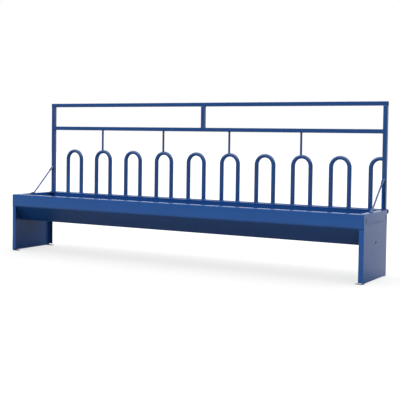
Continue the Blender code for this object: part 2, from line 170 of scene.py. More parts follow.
# The studio's light
AMBIENT = 0.45
ROOM_FRONT = 0.1
PAPER = "#8C8C8C"
PAPER_SEEN = "#828282"
FLOOR_LIFT = 0.70
# Painted light: the floor glows brighter behind the trough, hiding the object's shadow there
PAINTED_BACK_GLOW = 0.15
# Painted reflection: the floor glows in reflections only towards the right and behind the trough
PAINTED_REFLECTED_GLOW = 0.45
FLOOR_SIZE = 60
STRIP_BOX = ((-6.0, -2.5, 4.0), (6.0, 0.5, 4.1))
STRIP_GLOW = 3.0
CORNER_LAMP_PLACE = (-0.30, -0.10, 0.60)
CORNER_LAMP_TARGET = (-1.50, 0.10, 0.44)
FLAG_BOX = ((-1.515, -1.51, 0.30), (1.41, -1.50, 0.518))


# Colour and nodes
def linear(hex_colour):
    """An sRGB hex colour as linear red, green, blue and alpha."""
    channels = [int(hex_colour[i:i + 2], 16) / 255 for i in (1, 3, 5)]
    return (*(c / 12.92 if c <= 0.04045 else ((c + 0.055) / 1.055) ** 2.4 for c in channels), 1.0)


def add_node(tree, kind, settings=None, inputs=None):
    """A node with its settings, and its inputs set to a value or linked from a socket."""
    new = tree.nodes.new(kind)
    for name, value in (settings or {}).items():
        setattr(new, name, value)
    for name, value in (inputs or {}).items():
        if isinstance(value, bpy.types.NodeSocket):
            tree.links.new(value, new.inputs[name])
        else:
            new.inputs[name].default_value = value
    return new


def new_finish(name):
    finish = bpy.data.materials.new(name)
    finish.use_nodes = True
    tree = finish.node_tree
    shader = tree.nodes["Principled BSDF"]
    place = add_node(tree, "ShaderNodeTexCoord").outputs["Object"]
    return finish, tree, shader, place


def stoved_enamel(name, colour, film_colour, waviness, marks=()):
    """Blue alkyd enamel, sprayed and stoved on mild steel: a hard, wet-looking gloss
    over a slightly wavy sheet, with a film that is a touch darker where it is thick."""
    finish, tree, shader, place = new_finish(name)
    film = add_node(tree, "ShaderNodeTexNoise", inputs={
        "Vector": place, "Scale": 5.0, "Detail": 3.0,
    })
    shade = add_node(tree, "ShaderNodeMix", {"data_type": "RGBA"}, {
        "Factor": film.outputs["Fac"],
        "A": linear(colour),
        "B": linear(film_colour),
    })
    tree.links.new(shade.outputs["Result"], shader.inputs["Base Color"])
    # Sheet that has been folded and welded is never flat: shallow waves about 200 mm long
    wave = add_node(tree, "ShaderNodeTexNoise", inputs={
        "Vector": place, "Scale": 5.0, "Detail": 1.0,
    })
    waves = add_node(tree, "ShaderNodeBump", inputs={
        "Height": wave.outputs["Fac"], "Distance": waviness, "Strength": 1.0,
    })
    # Orange peel, 2 mm across on the real film, drawn 4 mm across so that it shows
    peel = add_node(tree, "ShaderNodeTexNoise", inputs={
        "Vector": place, "Scale": 250.0, "Detail": 1.0,
    })
    peeled = add_node(tree, "ShaderNodeBump", inputs={
        "Height": peel.outputs["Fac"], "Distance": 0.00001, "Strength": 1.0,
        "Normal": waves.outputs["Normal"],
    })
    tree.links.new(peeled.outputs["Normal"], shader.inputs["Normal"])
    # On the end sheets: weld dents, with painted shade darkening the colour in them
    if marks:
        dent_sheet_with_painted_shade(tree, shader, place, marks)
    # Dust and handling leave the gloss a little uneven
    dust = add_node(tree, "ShaderNodeTexNoise", inputs={
        "Vector": place, "Scale": 14.0, "Detail": 2.0,
    })
    gloss = add_node(tree, "ShaderNodeMapRange", inputs={
        "Value": dust.outputs["Fac"], "From Min": 0.3, "From Max": 0.7,
        "To Min": 0.22, "To Max": 0.27,
    })
    tree.links.new(gloss.outputs["Result"], shader.inputs["Roughness"])
    shader.inputs["IOR"].default_value = 1.5
    return finish


def print_through(tree, place, marks):
    """Welds on the far side that show through thin sheet: 1 on clear sheet, less in a mark."""
    clear = None
    for across, height, half_width, half_height, depth in marks:
        offset = add_node(tree, "ShaderNodeVectorMath", {"operation": "SUBTRACT"}, {
            "Vector": place,
        })
        offset.inputs[1].default_value = (0, across, height)
        spread = add_node(tree, "ShaderNodeVectorMath", {"operation": "MULTIPLY"}, {
            "Vector": offset.outputs["Vector"],
        })
        spread.inputs[1].default_value = (0, 1 / half_width, 1 / half_height)
        reach = add_node(tree, "ShaderNodeVectorMath", {"operation": "LENGTH"}, {
            "Vector": spread.outputs["Vector"],
        })
        mark = add_node(tree, "ShaderNodeMapRange", {"interpolation_type": "SMOOTHSTEP"}, {
            "Value": reach.outputs["Value"], "From Min": 0.3, "From Max": 1.0,
            "To Min": 1 - depth, "To Max": 1.0,
        })
        if clear is None:
            clear = mark.outputs["Result"]
        else:
            both = add_node(tree, "ShaderNodeMath", {"operation": "MULTIPLY"}, {"Value": clear})
            tree.links.new(mark.outputs["Result"], both.inputs[1])
            clear = both.outputs["Value"]
    return clear


def dent_sheet_with_painted_shade(tree, shader, place, marks):
    """Dents the enamel where a weld shows through, paints shade into its colour there, and dulls its
    gloss there.
    """
    clear = print_through(tree, place, marks)
    enamel_colour = shader.inputs["Base Color"].links[0].from_socket
    # Painted shade: the enamel's colour is darkened in each weld dent
    shade = add_node(tree, "ShaderNodeMix", {"data_type": "RGBA"}, {
        "Factor": clear, "A": linear(PAINTED_DENT_SHADE), "B": enamel_colour,
    })
    tree.links.new(shade.outputs["Result"], shader.inputs["Base Color"])
    enamel_normal = shader.inputs["Normal"].links[0].from_socket
    dent = add_node(tree, "ShaderNodeBump", inputs={
        "Height": clear, "Distance": 0.0006, "Strength": 1.0, "Normal": enamel_normal,
    })
    tree.links.new(dent.outputs["Normal"], shader.inputs["Normal"])
    sheen = add_node(tree, "ShaderNodeMapRange", inputs={
        "Value": clear, "To Min": 0.05, "To Max": 0.5,
    })
    tree.links.new(sheen.outputs["Result"], shader.inputs["Specular IOR Level"])


def zinc_plate(name):
    """Zinc plating gone dull: pale grey metal, mottled by its crystals and light handling."""
    finish, tree, shader, place = new_finish(name)
    spangle = add_node(tree, "ShaderNodeTexVoronoi", inputs={"Vector": place, "Scale": 220.0})
    shade = add_node(tree, "ShaderNodeMix", {"data_type": "RGBA"}, {
        "Factor": spangle.outputs["Distance"],
        "A": linear("#B9BDBC"),
        "B": linear("#8F9594"),
    })
    tree.links.new(shade.outputs["Result"], shader.inputs["Base Color"])
    grain = add_node(tree, "ShaderNodeTexNoise", inputs={
        "Vector": place, "Scale": 600.0, "Detail": 2.0,
    })
    bump = add_node(tree, "ShaderNodeBump", inputs={
        "Height": grain.outputs["Fac"], "Distance": 0.00005, "Strength": 0.6,
    })
    tree.links.new(bump.outputs["Normal"], shader.inputs["Normal"])
    shader.inputs["Metallic"].default_value = 1.0
    shader.inputs["Roughness"].default_value = 0.42
    return finish


def mill_scale(name):
    """Black oxide from the rolling mill, where the spray gun can't reach: dark and nearly
    dull, with patches that are a little greyer."""
    finish, tree, shader, place = new_finish(name)
    patches = add_node(tree, "ShaderNodeTexNoise", inputs={
        "Vector": place, "Scale": 90.0, "Detail": 3.0,
    })
    shade = add_node(tree, "ShaderNodeMix", {"data_type": "RGBA"}, {
        "Factor": patches.outputs["Fac"],
        "A": linear("#121316"),
        "B": linear("#24262B"),
    })
    tree.links.new(shade.outputs["Result"], shader.inputs["Base Color"])
    shader.inputs["Roughness"].default_value = 0.6
    shader.inputs["IOR"].default_value = 1.5
    return finish


# Making and finishing pieces
def deselect():
    bpy.ops.object.select_all(action="DESELECT")


def active():
    return bpy.context.view_layer.objects.active


def start_edit():
    bpy.ops.object.mode_set(mode="EDIT")


def end_edit():
    bpy.ops.object.mode_set(mode="OBJECT")


def pick(kind, test):
    """Selects the vertices, edges or faces whose middle and normal pass a test."""
    bpy.ops.mesh.select_mode(type=kind)
    bpy.ops.mesh.select_all(action="DESELECT")
    bm = bmesh.from_edit_mesh(active().data)
    items = {"VERT": bm.verts, "EDGE": bm.edges, "FACE": bm.faces}[kind]
    for item in items:
        if test(item):
            item.select_set(True)
    bm.select_flush_mode()
    bmesh.update_edit_mesh(active().data)


def middle(item):
    return sum((v.co for v in item.verts), Vector()) / len(item.verts)


def span(edge, axis):
    """How far an edge reaches along an axis."""
    return abs(edge.verts[0].co[axis] - edge.verts[1].co[axis])


def extrude_by(offset):
    bpy.ops.mesh.extrude_region_move(TRANSFORM_OT_translate={"value": tuple(offset)})


def extrude_edge_by(offset):
    bpy.ops.mesh.extrude_edges_move(TRANSFORM_OT_translate={"value": tuple(offset)})


def apply_all(piece):
    bpy.context.view_layer.objects.active = piece
    for modifier in list(piece.modifiers):
        bpy.ops.object.modifier_apply(modifier=modifier.name)


def add_wall(piece, thickness, offset=-1.0):
    wall = piece.modifiers.new("wall", "SOLIDIFY")
    wall.thickness = thickness
    wall.offset = offset
    wall.use_even_offset = True
    apply_all(piece)


def soften(piece, width, angle=60):
    """Rounds the piece's sharp edges."""
    bevel = piece.modifiers.new("soften", "BEVEL")
    bevel.width = width
    bevel.segments = 2
    bevel.limit_method = "ANGLE"
    bevel.angle_limit = math.radians(angle)
    apply_all(piece)


def finish_piece(piece, name, finish, stands_for=()):
    piece.name = name
    piece.data.name = name
    deselect()
    piece.select_set(True)
    bpy.context.view_layer.objects.active = piece
    bpy.ops.object.transform_apply(location=True, rotation=True, scale=True)
    bpy.ops.object.shade_smooth_by_angle(angle=math.radians(35))
    piece.data.materials.clear()
    piece.data.materials.append(finish)
    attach(piece, "root")
    if stands_for:
        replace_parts(piece, *stands_for)
    return piece


def copy_piece(piece, name, offset, stands_for):
    twin = piece.copy()
    twin.data = piece.data.copy()
    twin.data.transform(Matrix.Translation(offset))
    twin.name = name
    twin.data.name = name
    twin["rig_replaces"] = []
    bpy.context.collection.objects.link(twin)
    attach(twin, "root")
    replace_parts(twin, *stands_for)
    return twin


# Tubes and rods
def leave_bore_bare(tube, centre, long_axis, bore_finish):
    """Gives the faces inside a square tube the finish that they keep from the mill."""
    across = [axis for axis in range(3) if axis != long_axis]
    bore_half = TUBE / 2 - TUBE_WALL + 2 * CLOSE
    tube.data.materials.append(bore_finish)
    for face in tube.data.polygons:
        if all(abs(face.center[axis] - centre[axis]) < bore_half for axis in across):
            face.material_index = 1


def square_tube(node, finish, bore_finish):
    """An open square tube in its node's box: a bar with its ends off, its long edges
    rounded as rolled tube has them, and a wall inside."""
    low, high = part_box(node)
    size = high - low
    long_axis = max(range(3), key=lambda i: size[i])
    deselect()
    bpy.ops.mesh.primitive_cube_add(size=1, location=(low + high) / 2, scale=size)
    bpy.ops.object.transform_apply(location=False, rotation=False, scale=True)
    start_edit()
    pick("FACE", lambda face: abs(face.normal[long_axis]) > FACING)
    bpy.ops.mesh.delete(type="ONLY_FACE")
    pick("EDGE", lambda edge: span(edge, long_axis) > TUBE)
    bpy.ops.mesh.bevel(offset=TUBE_CORNER, segments=4, affect="EDGES")
    bpy.ops.mesh.select_all(action="SELECT")
    bpy.ops.mesh.normals_make_consistent(inside=False)
    end_edit()
    tube = active()
    add_wall(tube, TUBE_WALL)
    soften(tube, TUBE_END_ROUNDING)
    finish_piece(tube, node + "_tube", finish, [node])
    leave_bore_bare(tube, (low + high) / 2, long_axis, bore_finish)


def flatten_bend(piece, centre_x):
    """Draws the tube in across the bend, most of all at the crown."""
    for vert in piece.data.vertices:
        height = vert.co.z - HOOP_ARC_HEIGHT
        if height <= 0:
            continue
        out = Vector((vert.co.x - centre_x, 0, height))
        crown = (height / out.length) ** 2
        new_length = HOOP_HALF + (out.length - HOOP_HALF) * (1 - HOOP_FLATTENING * crown)
        out *= new_length / out.length
        vert.co.x = centre_x + out.x
        vert.co.z = HOOP_ARC_HEIGHT + out.z


def bent_hoop(centre_x):
    """A round tube pushed up from the rail, spun over its arc and run down again."""
    deselect()
    foot = (centre_x - HOOP_HALF, HOOP_PLANE_Y, HOOP_LOW.z)
    bpy.ops.mesh.primitive_circle_add(
        vertices=TUBE_SIDES, radius=HOOP_OD / 2, fill_type="NGON", location=foot
    )
    bpy.ops.object.transform_apply(location=True, rotation=False, scale=False)
    start_edit()
    bpy.ops.mesh.select_all(action="SELECT")
    leg = Vector((0, 0, HOOP_ARC_HEIGHT - HOOP_LOW.z))
    extrude_by(leg)
    centre = (centre_x, HOOP_PLANE_Y, HOOP_ARC_HEIGHT)
    bpy.ops.mesh.spin(steps=ARC_STEPS, angle=math.pi, center=centre, axis=(0, -1, 0))
    extrude_by(-leg)
    bpy.ops.mesh.select_all(action="SELECT")
    bpy.ops.mesh.remove_doubles(threshold=TOUCH)
    bpy.ops.mesh.normals_make_consistent(inside=False)
    end_edit()
    hoop = active()
    flatten_bend(hoop, centre_x)
    return hoop


def all_hoops(finish):
    first_x = (HOOP_LOW.x + HOOP_HIGH.x) / 2
    hoop = finish_piece(bent_hoop(first_x), "hoop_1_tube", finish, ["hoop_1"])
    for number in range(2, 10):
        node = f"hoop_{number}"
        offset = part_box(node)[0] - HOOP_LOW
        copy_piece(hoop, node + "_tube", offset, [node])
    low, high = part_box("half_hoop_10")
    centre_x = low.x + HOOP_OD / 2 + HOOP_HALF
    half = bent_hoop(centre_x)
    start_edit()
    bpy.ops.mesh.select_all(action="SELECT")
    bpy.ops.mesh.bisect(
        plane_co=(high.x, 0, 0), plane_no=(1, 0, 0), use_fill=True, clear_outer=True
    )
    end_edit()
    finish_piece(half, "half_hoop_10_tube", finish, ["half_hoop_10"])


def hanger_rods(finish):
    for number in range(1, 5):
        node = f"hanger_rod_{number}"
        low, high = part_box(node)
        deselect()
        bpy.ops.mesh.primitive_cylinder_add(
            vertices=ROD_SIDES,
            radius=(high.y - low.y) / 2,
            depth=high.z - low.z,
            location=(low + high) / 2,
        )
        finish_piece(active(), node + "_bar", finish, [node])


def stay_stations():
    """The stay's centre line from foot to top, each point with its way and its flattening."""
    low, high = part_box("right_stay")
    half = STAY_FLAT / 2
    foot_start = Vector((POST_X, low.y, low.z + half))
    foot_end = foot_start + Vector((0, STAY_FLAT_LENGTH, 0))
    flat = Vector((0, 1, 0))
    run = (Vector((POST_X, high.y, high.z)) - foot_end).normalized()
    top_end = Vector((POST_X, high.y - run.z * half, high.z - run.y * half))
    top_start = top_end - run * STAY_FLAT_LENGTH
    stations = [(foot_start, flat, 1.0), (foot_end - flat * STAY_KNEE, flat, 1.0)]
    stations.append((foot_end, (flat + run).normalized(), 1.0))
    tapers = [(foot_end + run * STAY_KNEE / 4, False), (top_start - run * STAY_TAPER, True)]
    for start, to_flat in tapers:
        for i in range(TAPER_STEPS + 1):
            share = i / TAPER_STEPS
            ease = share * share * (3 - 2 * share)
            stations.append((start + run * STAY_TAPER * share, run, ease if to_flat else 1 - ease))
    stations.append((top_end, run, 1.0))
    return stations


def stay_ring(place, along, blend):
    """A ring of points round the stay, round at 0 and pressed flat at 1."""
    low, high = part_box("right_stay")
    half_width = STAY_OD / 2 + ((high.x - low.x) / 2 - STAY_OD / 2) * blend
    half_thick = STAY_OD / 2 + (STAY_FLAT / 2 - STAY_OD / 2) * blend
    normal = Vector((1, 0, 0)).cross(along).normalized()
    ring = []
    for i in range(ROD_SIDES):
        angle = (i + 0.5) / ROD_SIDES * math.tau
        across = math.sin(angle)
        squared = across + (math.copysign(1, across) - across) * STAY_SQUARENESS * blend
        sideways = Vector((half_width * math.cos(angle), 0, 0))
        ring.append(place + sideways + normal * half_thick * squared)
    return ring


def stays(finish):
    """Rods with pressed ends: the foot bends to lie on the lip, the top runs on to the post."""
    stations = stay_stations()
    mesh = bpy.data.meshes.new("right_stay_rod")
    bm = bmesh.new()
    rings = [[bm.verts.new(point) for point in stay_ring(*station)] for station in stations]
    for lower, upper in zip(rings, rings[1:]):
        for i in range(ROD_SIDES):
            bm.faces.new((lower[i - 1], lower[i], upper[i], upper[i - 1]))
    bm.faces.new(rings[0])
    bm.faces.new(rings[-1])
    bmesh.ops.recalc_face_normals(bm, faces=bm.faces[:])
    bm.to_mesh(mesh)
    bm.free()
    right = bpy.data.objects.new("right_stay_rod", mesh)
    bpy.context.collection.objects.link(right)
    finish_piece(right, "right_stay_rod", finish, ["right_stay"])
    copy_piece(right, "left_stay_rod", Vector((-2 * POST_X, 0, 0)), ["left_stay"])


# Folded sheets
def flat_sheet(centre, size, facing="Z"):
    """A bare rectangle of sheet at its size and place, facing up or along +X."""
    deselect()
    turn = (0, math.pi / 2, 0) if facing == "X" else (0, 0, 0)
    bpy.ops.mesh.primitive_plane_add(size=1, location=centre, rotation=turn)
    sheet = active()
    sheet.scale = (size[0], size[1], 1)
    bpy.ops.object.transform_apply(location=True, rotation=True, scale=True)
    return sheet


def pick_border(test):
    """Selects the open edges whose middles pass a test."""
    pick("EDGE", lambda edge: len(edge.link_faces) == 1 and test(middle(edge)))


def round_folds(along):
    """Rounds each fold: the edges between two faces that stand at an angle."""
    def is_fold(edge):
        if len(edge.link_faces) != 2 or edge.calc_face_angle() < FOLD_ANGLE:
            return False
        return any(span(edge, axis) > BEND_RADIUS for axis in along)
    pick("EDGE", is_fold)
    bpy.ops.mesh.bevel(offset=BEND_RADIUS - CLOSE, segments=BEND_SEGMENTS, affect="EDGES")


def face_all(sheet, direction):
    """Makes an open sheet's faces agree, with its largest one facing the given way."""
    start_edit()
    bpy.ops.mesh.select_all(action="SELECT")
    bpy.ops.mesh.remove_doubles(threshold=2 * CLOSE)
    bpy.ops.mesh.normals_make_consistent(inside=False)
    end_edit()
    largest = max(sheet.data.polygons, key=lambda face: face.area)
    if largest.normal.dot(Vector(direction)) < 0:
        start_edit()
        bpy.ops.mesh.select_all(action="SELECT")
        bpy.ops.mesh.flip_normals()
        end_edit()


def trough_sheet(finish):
    """Folded from the floor out: slopes, aprons and lips on both sides, the folds
    rounded, the lips' ends mitred and the sheet given its thickness inwards."""
    floor_z = TROUGH_LOW.z
    half_floor = WALL - SLOPE_RUN
    length = TROUGH_HIGH.x - TROUGH_LOW.x
    sheet = flat_sheet((0, TROUGH_CENTRE_Y, floor_z), (length, 2 * half_floor))
    start_edit()
    for side in (-1, 1):
        pick_border(lambda place: abs(place.y - TROUGH_CENTRE_Y - side * half_floor) < TOUCH)
        extrude_edge_by((0, side * SLOPE_RUN, RIM - APRON - floor_z))
        extrude_edge_by((0, 0, APRON))
        extrude_edge_by((0, -side * LIP, 0))
    round_folds(along=(0,))
    end_edit()
    for vert in sheet.data.vertices:
        from_wall = WALL - abs(vert.co.y - TROUGH_CENTRE_Y)
        if vert.co.z > RIM - BEND_RADIUS / 10 and from_wall > BEND_RADIUS / 2:
            vert.co.x = math.copysign(HALF_LENGTH - from_wall - MITRE_CLEARANCE, vert.co.x)
    face_all(sheet, (0, 0, -1))
    add_wall(sheet, SHEET)
    soften(sheet, SHEET_EDGE_ROUNDING)
    return finish_piece(sheet, "trough_sheet", finish, ["trough_body"])


def end_sheet():
    """The right end: a web with two leg flanges, a foot flange and a mitred top lip, all
    folded inwards, with relief notches where two folds would meet."""
    fold = WALL - BEND_RADIUS
    top_fold = RIM - BEND_RADIUS
    bottom_fold = PANEL_LOW.z + BEND_RADIUS
    flange_top = RIM - APRON - FLANGE_TOP_RELIEF
    flange_bottom = bottom_fold + RELIEF
    height = top_fold - bottom_fold
    centre = Vector((HALF_LENGTH, TROUGH_CENTRE_Y, (top_fold + bottom_fold) / 2))
    sheet = flat_sheet(centre, (height, 2 * fold), facing="X")
    start_edit()
    for cut_z in (flange_top, flange_bottom):
        bpy.ops.mesh.select_all(action="SELECT")
        bpy.ops.mesh.bisect(plane_co=(0, 0, cut_z), plane_no=(0, 0, 1))
    for cut_y in (fold - RELIEF, -fold + RELIEF):
        pick("FACE", lambda face: middle(face).z < flange_bottom)
        bpy.ops.mesh.bisect(plane_co=(0, TROUGH_CENTRE_Y + cut_y, 0), plane_no=(0, 1, 0))
    for side in (-1, 1):
        edge_y = TROUGH_CENTRE_Y + side * fold
        pick_border(lambda place: abs(place.y - edge_y) < TOUCH and place.z > flange_top)
        extrude_edge_by((0, side * BEND_RADIUS, 0))
        pick("VERT", lambda vert: (
            side * (vert.co.y - edge_y) > BEND_RADIUS / 4 and abs(vert.co.z - flange_top) < TOUCH
        ))
        bpy.ops.transform.translate(value=(0, 0, RELIEF / 4))
        pick_border(lambda place: (
            abs(place.y - edge_y) < TOUCH and flange_bottom < place.z < flange_top
        ))
        extrude_edge_by((0, side * BEND_RADIUS, 0))
        extrude_edge_by((-LEG_FLANGE, 0, 0))
    pick_border(lambda place: (
        abs(place.z - bottom_fold) < TOUCH and abs(place.y - TROUGH_CENTRE_Y) < fold - RELIEF
    ))
    extrude_edge_by((0, 0, -BEND_RADIUS))
    extrude_edge_by((-BOTTOM_FLANGE, 0, 0))
    pick_border(lambda place: (
        abs(place.z - top_fold) < TOUCH and abs(place.y - TROUGH_CENTRE_Y) < fold
    ))
    extrude_edge_by((0, 0, BEND_RADIUS))
    extrude_edge_by((-LIP, 0, 0))
    round_folds(along=(1, 2))
    end_edit()
    for vert in sheet.data.vertices:
        across = vert.co.y - TROUGH_CENTRE_Y
        inwards = HALF_LENGTH - vert.co.x
        if vert.co.z > RIM - BEND_RADIUS / 10 and abs(across) > fold - TOUCH:
            mitred = WALL - max(inwards, BEND_RADIUS) - MITRE_CLEARANCE
            vert.co.y = TROUGH_CENTRE_Y + math.copysign(mitred, across)
    face_all(sheet, (1, 0, 0))
    add_wall(sheet, SHEET)
    soften(sheet, SHEET_EDGE_ROUNDING)
    # The notches' rounded corners stay flush with the web's face
    for vert in sheet.data.vertices:
        vert.co.x = min(vert.co.x, HALF_LENGTH)
    return sheet


def end_sheets(finish):
    sheet = end_sheet()
    right = finish_piece(sheet, "right_end_sheet", finish, ["right_end_panel"])
    left = copy_piece(right, "left_end_sheet", Vector(), ["left_end_panel"])
    turn = Matrix.Translation((0, TROUGH_CENTRE_Y, 0)) @ Matrix.Rotation(math.pi, 4, "Z")
    left.data.transform(turn @ Matrix.Translation((0, -TROUGH_CENTRE_Y, 0)))


def feet(finish):
    """Cut plates under the leg corners, with their corners taken off."""
    for node in ("left_front_foot", "left_back_foot", "right_front_foot", "right_back_foot"):
        low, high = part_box(node)
        deselect()
        bpy.ops.mesh.primitive_cube_add(size=1, location=(low + high) / 2)
        plate = active()
        plate.scale = high - low
        bpy.ops.object.transform_apply(location=True, rotation=False, scale=True)
        start_edit()
        pick("EDGE", lambda edge: span(edge, 2) > (high.z - low.z) / 2)
        bpy.ops.mesh.bevel(offset=FOOT_CORNER, segments=1, affect="EDGES")
        end_edit()
        soften(plate, PLATE_EDGE_ROUNDING, angle=40)
        finish_piece(plate, node + "_plate", finish, [node])


# Fasteners
def hexagon(place, width, height):
    """A hexagon with its long axis upright and its top corners turned off."""
    deselect()
    bpy.ops.mesh.primitive_cylinder_add(
        vertices=6,
        radius=width / math.sqrt(3),
        depth=height,
        location=place,
        rotation=(0, 0, math.pi / 6),
    )
    bpy.ops.object.transform_apply(location=True, rotation=True, scale=False)
    start_edit()
    top = place[2] + height / 2
    pick("EDGE", lambda edge: middle(edge).z > top - TOUCH)
    bpy.ops.mesh.bevel(offset=HEX_CHAMFER, segments=3, affect="EDGES")
    pick("EDGE", lambda edge: span(edge, 2) > height / 2)
    bpy.ops.mesh.bevel(offset=HEX_CORNER_ROUNDING, segments=2, affect="EDGES")
    end_edit()
    return active()


def threaded_shank(place, length):
    """A round bar pushed down and drawn in and out again at half the thread's pitch."""
    deselect()
    radius = BOLT_DIAMETER / 2 - CLOSE
    bpy.ops.mesh.primitive_circle_add(
        vertices=ROD_SIDES, radius=radius, fill_type="NGON", location=place
    )
    bpy.ops.object.transform_apply(location=True, rotation=False, scale=False)
    start_edit()
    bpy.ops.mesh.select_all(action="SELECT")
    extrude_by((0, 0, -PLAIN_SHANK))
    root = 1 - THREAD_DEPTH / radius
    turns = int((length - PLAIN_SHANK - BOLT_POINT) / THREAD_PITCH)
    for size in [root, 1 / root] * turns:
        extrude_by((0, 0, -THREAD_PITCH / 2))
        bpy.ops.transform.resize(value=(size, size, 1), center_override=place)
    extrude_by((0, 0, -(length - PLAIN_SHANK - turns * THREAD_PITCH)))
    bpy.ops.transform.resize(value=(BOLT_POINT_TAPER, BOLT_POINT_TAPER, 1), center_override=place)
    bpy.ops.mesh.select_all(action="SELECT")
    bpy.ops.mesh.normals_make_consistent(inside=False)
    end_edit()
    return active()


def fasteners(finish):
    """A hexagon bolt down through each stay's foot and the lip, with a nut under the lip."""
    low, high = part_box("right_stay_bolt")
    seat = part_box("right_stay")[0].z + STAY_FLAT + CLOSE
    centre = (low + high) / 2
    width = high.y - low.y
    head = hexagon((centre.x, centre.y, (seat + high.z) / 2), width, high.z - seat)
    shank_top = seat + SHANK_IN_HEAD
    threaded_shank((centre.x, centre.y, shank_top), shank_top - low.z)
    head.select_set(True)
    bpy.ops.object.join()
    bolt = finish_piece(active(), "right_bolt", finish, ["right_stay_bolt"])
    nut_low, nut_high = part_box("right_stay_nut")
    height = nut_high.z - nut_low.z
    nut = hexagon((centre.x, centre.y, (nut_low.z + nut_high.z) / 2), width, height)
    start_edit()
    pick("FACE", lambda face: abs(face.normal.z) > FACING and face.calc_area() > width * width / 2)
    bpy.ops.mesh.delete(type="ONLY_FACE")
    end_edit()
    deselect()
    bpy.ops.mesh.primitive_cylinder_add(
        vertices=ROD_SIDES,
        radius=BOLT_DIAMETER / 2 + NUT_BORE_CLEARANCE,
        depth=height,
        end_fill_type="NOTHING",
        location=nut_low.lerp(nut_high, 0.5),
    )
    bpy.ops.object.transform_apply(location=True, rotation=False, scale=False)
    nut.select_set(True)
    bpy.ops.object.join()
    start_edit()
    for level in (nut_high.z, nut_low.z):
        pick_border(lambda place: abs(place.z - level) < height / 4)
        bpy.ops.mesh.bridge_edge_loops()
    bpy.ops.mesh.select_all(action="SELECT")
    bpy.ops.mesh.normals_make_consistent(inside=False)
    end_edit()
    nut = finish_piece(active(), "right_nut", finish, ["right_stay_nut"])
    across = Vector((-2 * centre.x, 0, 0))
    copy_piece(bolt, "left_bolt", across, ["left_stay_bolt"])
    copy_piece(nut, "left_nut", across, ["left_stay_nut"])


# Welds
def weld_bead(name, points, size, finish, closed=True):
    """One ripple of weld metal, arrayed along a path and bent to it."""
    path_data = bpy.data.curves.new("weld_path", "CURVE")
    path_data.dimensions = "3D"
    spline = path_data.splines.new("POLY")
    spline.points.add(len(points) - 1)
    for spot, point in zip(spline.points, points):
        spot.co = (*point, 1)
    spline.use_cyclic_u = closed
    path = bpy.data.objects.new("weld_path", path_data)
    bpy.context.collection.objects.link(path)
    deselect()
    bpy.ops.mesh.primitive_cylinder_add(
        vertices=8,
        radius=size,
        depth=RIPPLE,
        end_fill_type="NOTHING",
        rotation=(0, math.pi / 2, 0),
    )
    bpy.ops.object.transform_apply(location=False, rotation=True, scale=False)
    start_edit()
    pick("EDGE", lambda edge: span(edge, 0) > RIPPLE / 2)
    bpy.ops.mesh.subdivide(number_cuts=1)
    pick("VERT", lambda vert: abs(vert.co.x) < RIPPLE / 10)
    bpy.ops.transform.resize(value=(1, RIPPLE_SWELL, RIPPLE_SWELL), center_override=(0, 0, 0))
    end_edit()
    bead = active()
    row = bead.modifiers.new("row", "ARRAY")
    row.fit_type = "FIT_CURVE"
    row.curve = path
    row.use_merge_vertices = True
    row.merge_threshold = RIPPLE / 20
    bend = bead.modifiers.new("bend", "CURVE")
    bend.object = path
    bend.deform_axis = "POS_X"
    apply_all(bead)
    start_edit()
    bpy.ops.mesh.select_all(action="SELECT")
    bpy.ops.mesh.fill_holes(sides=0)
    bpy.ops.mesh.normals_make_consistent(inside=False)
    end_edit()
    bpy.data.objects.remove(path)
    return finish_piece(bead, name, finish)


def round_path(centre, half_sizes, axes, squareness=0.0, steps=32):
    """Points round a centre, in the plane of two axes: an ellipse, or nearly a rectangle
    where the squareness is 1."""
    points = []
    for i in range(steps):
        angle = i / steps * math.tau
        point = Vector(centre)
        for half, axis, share in zip(half_sizes, axes, (math.cos(angle), math.sin(angle))):
            point[axis] += half * math.copysign(abs(share) ** (1 - 0.75 * squareness), share)
        points.append(point)
    return points


def square_path(centre, half_sizes, axes):
    return round_path(centre, half_sizes, axes, squareness=1.0, steps=48)


def copy_bead(bead, name, offset):
    return copy_piece(bead, name, Vector(offset), [])


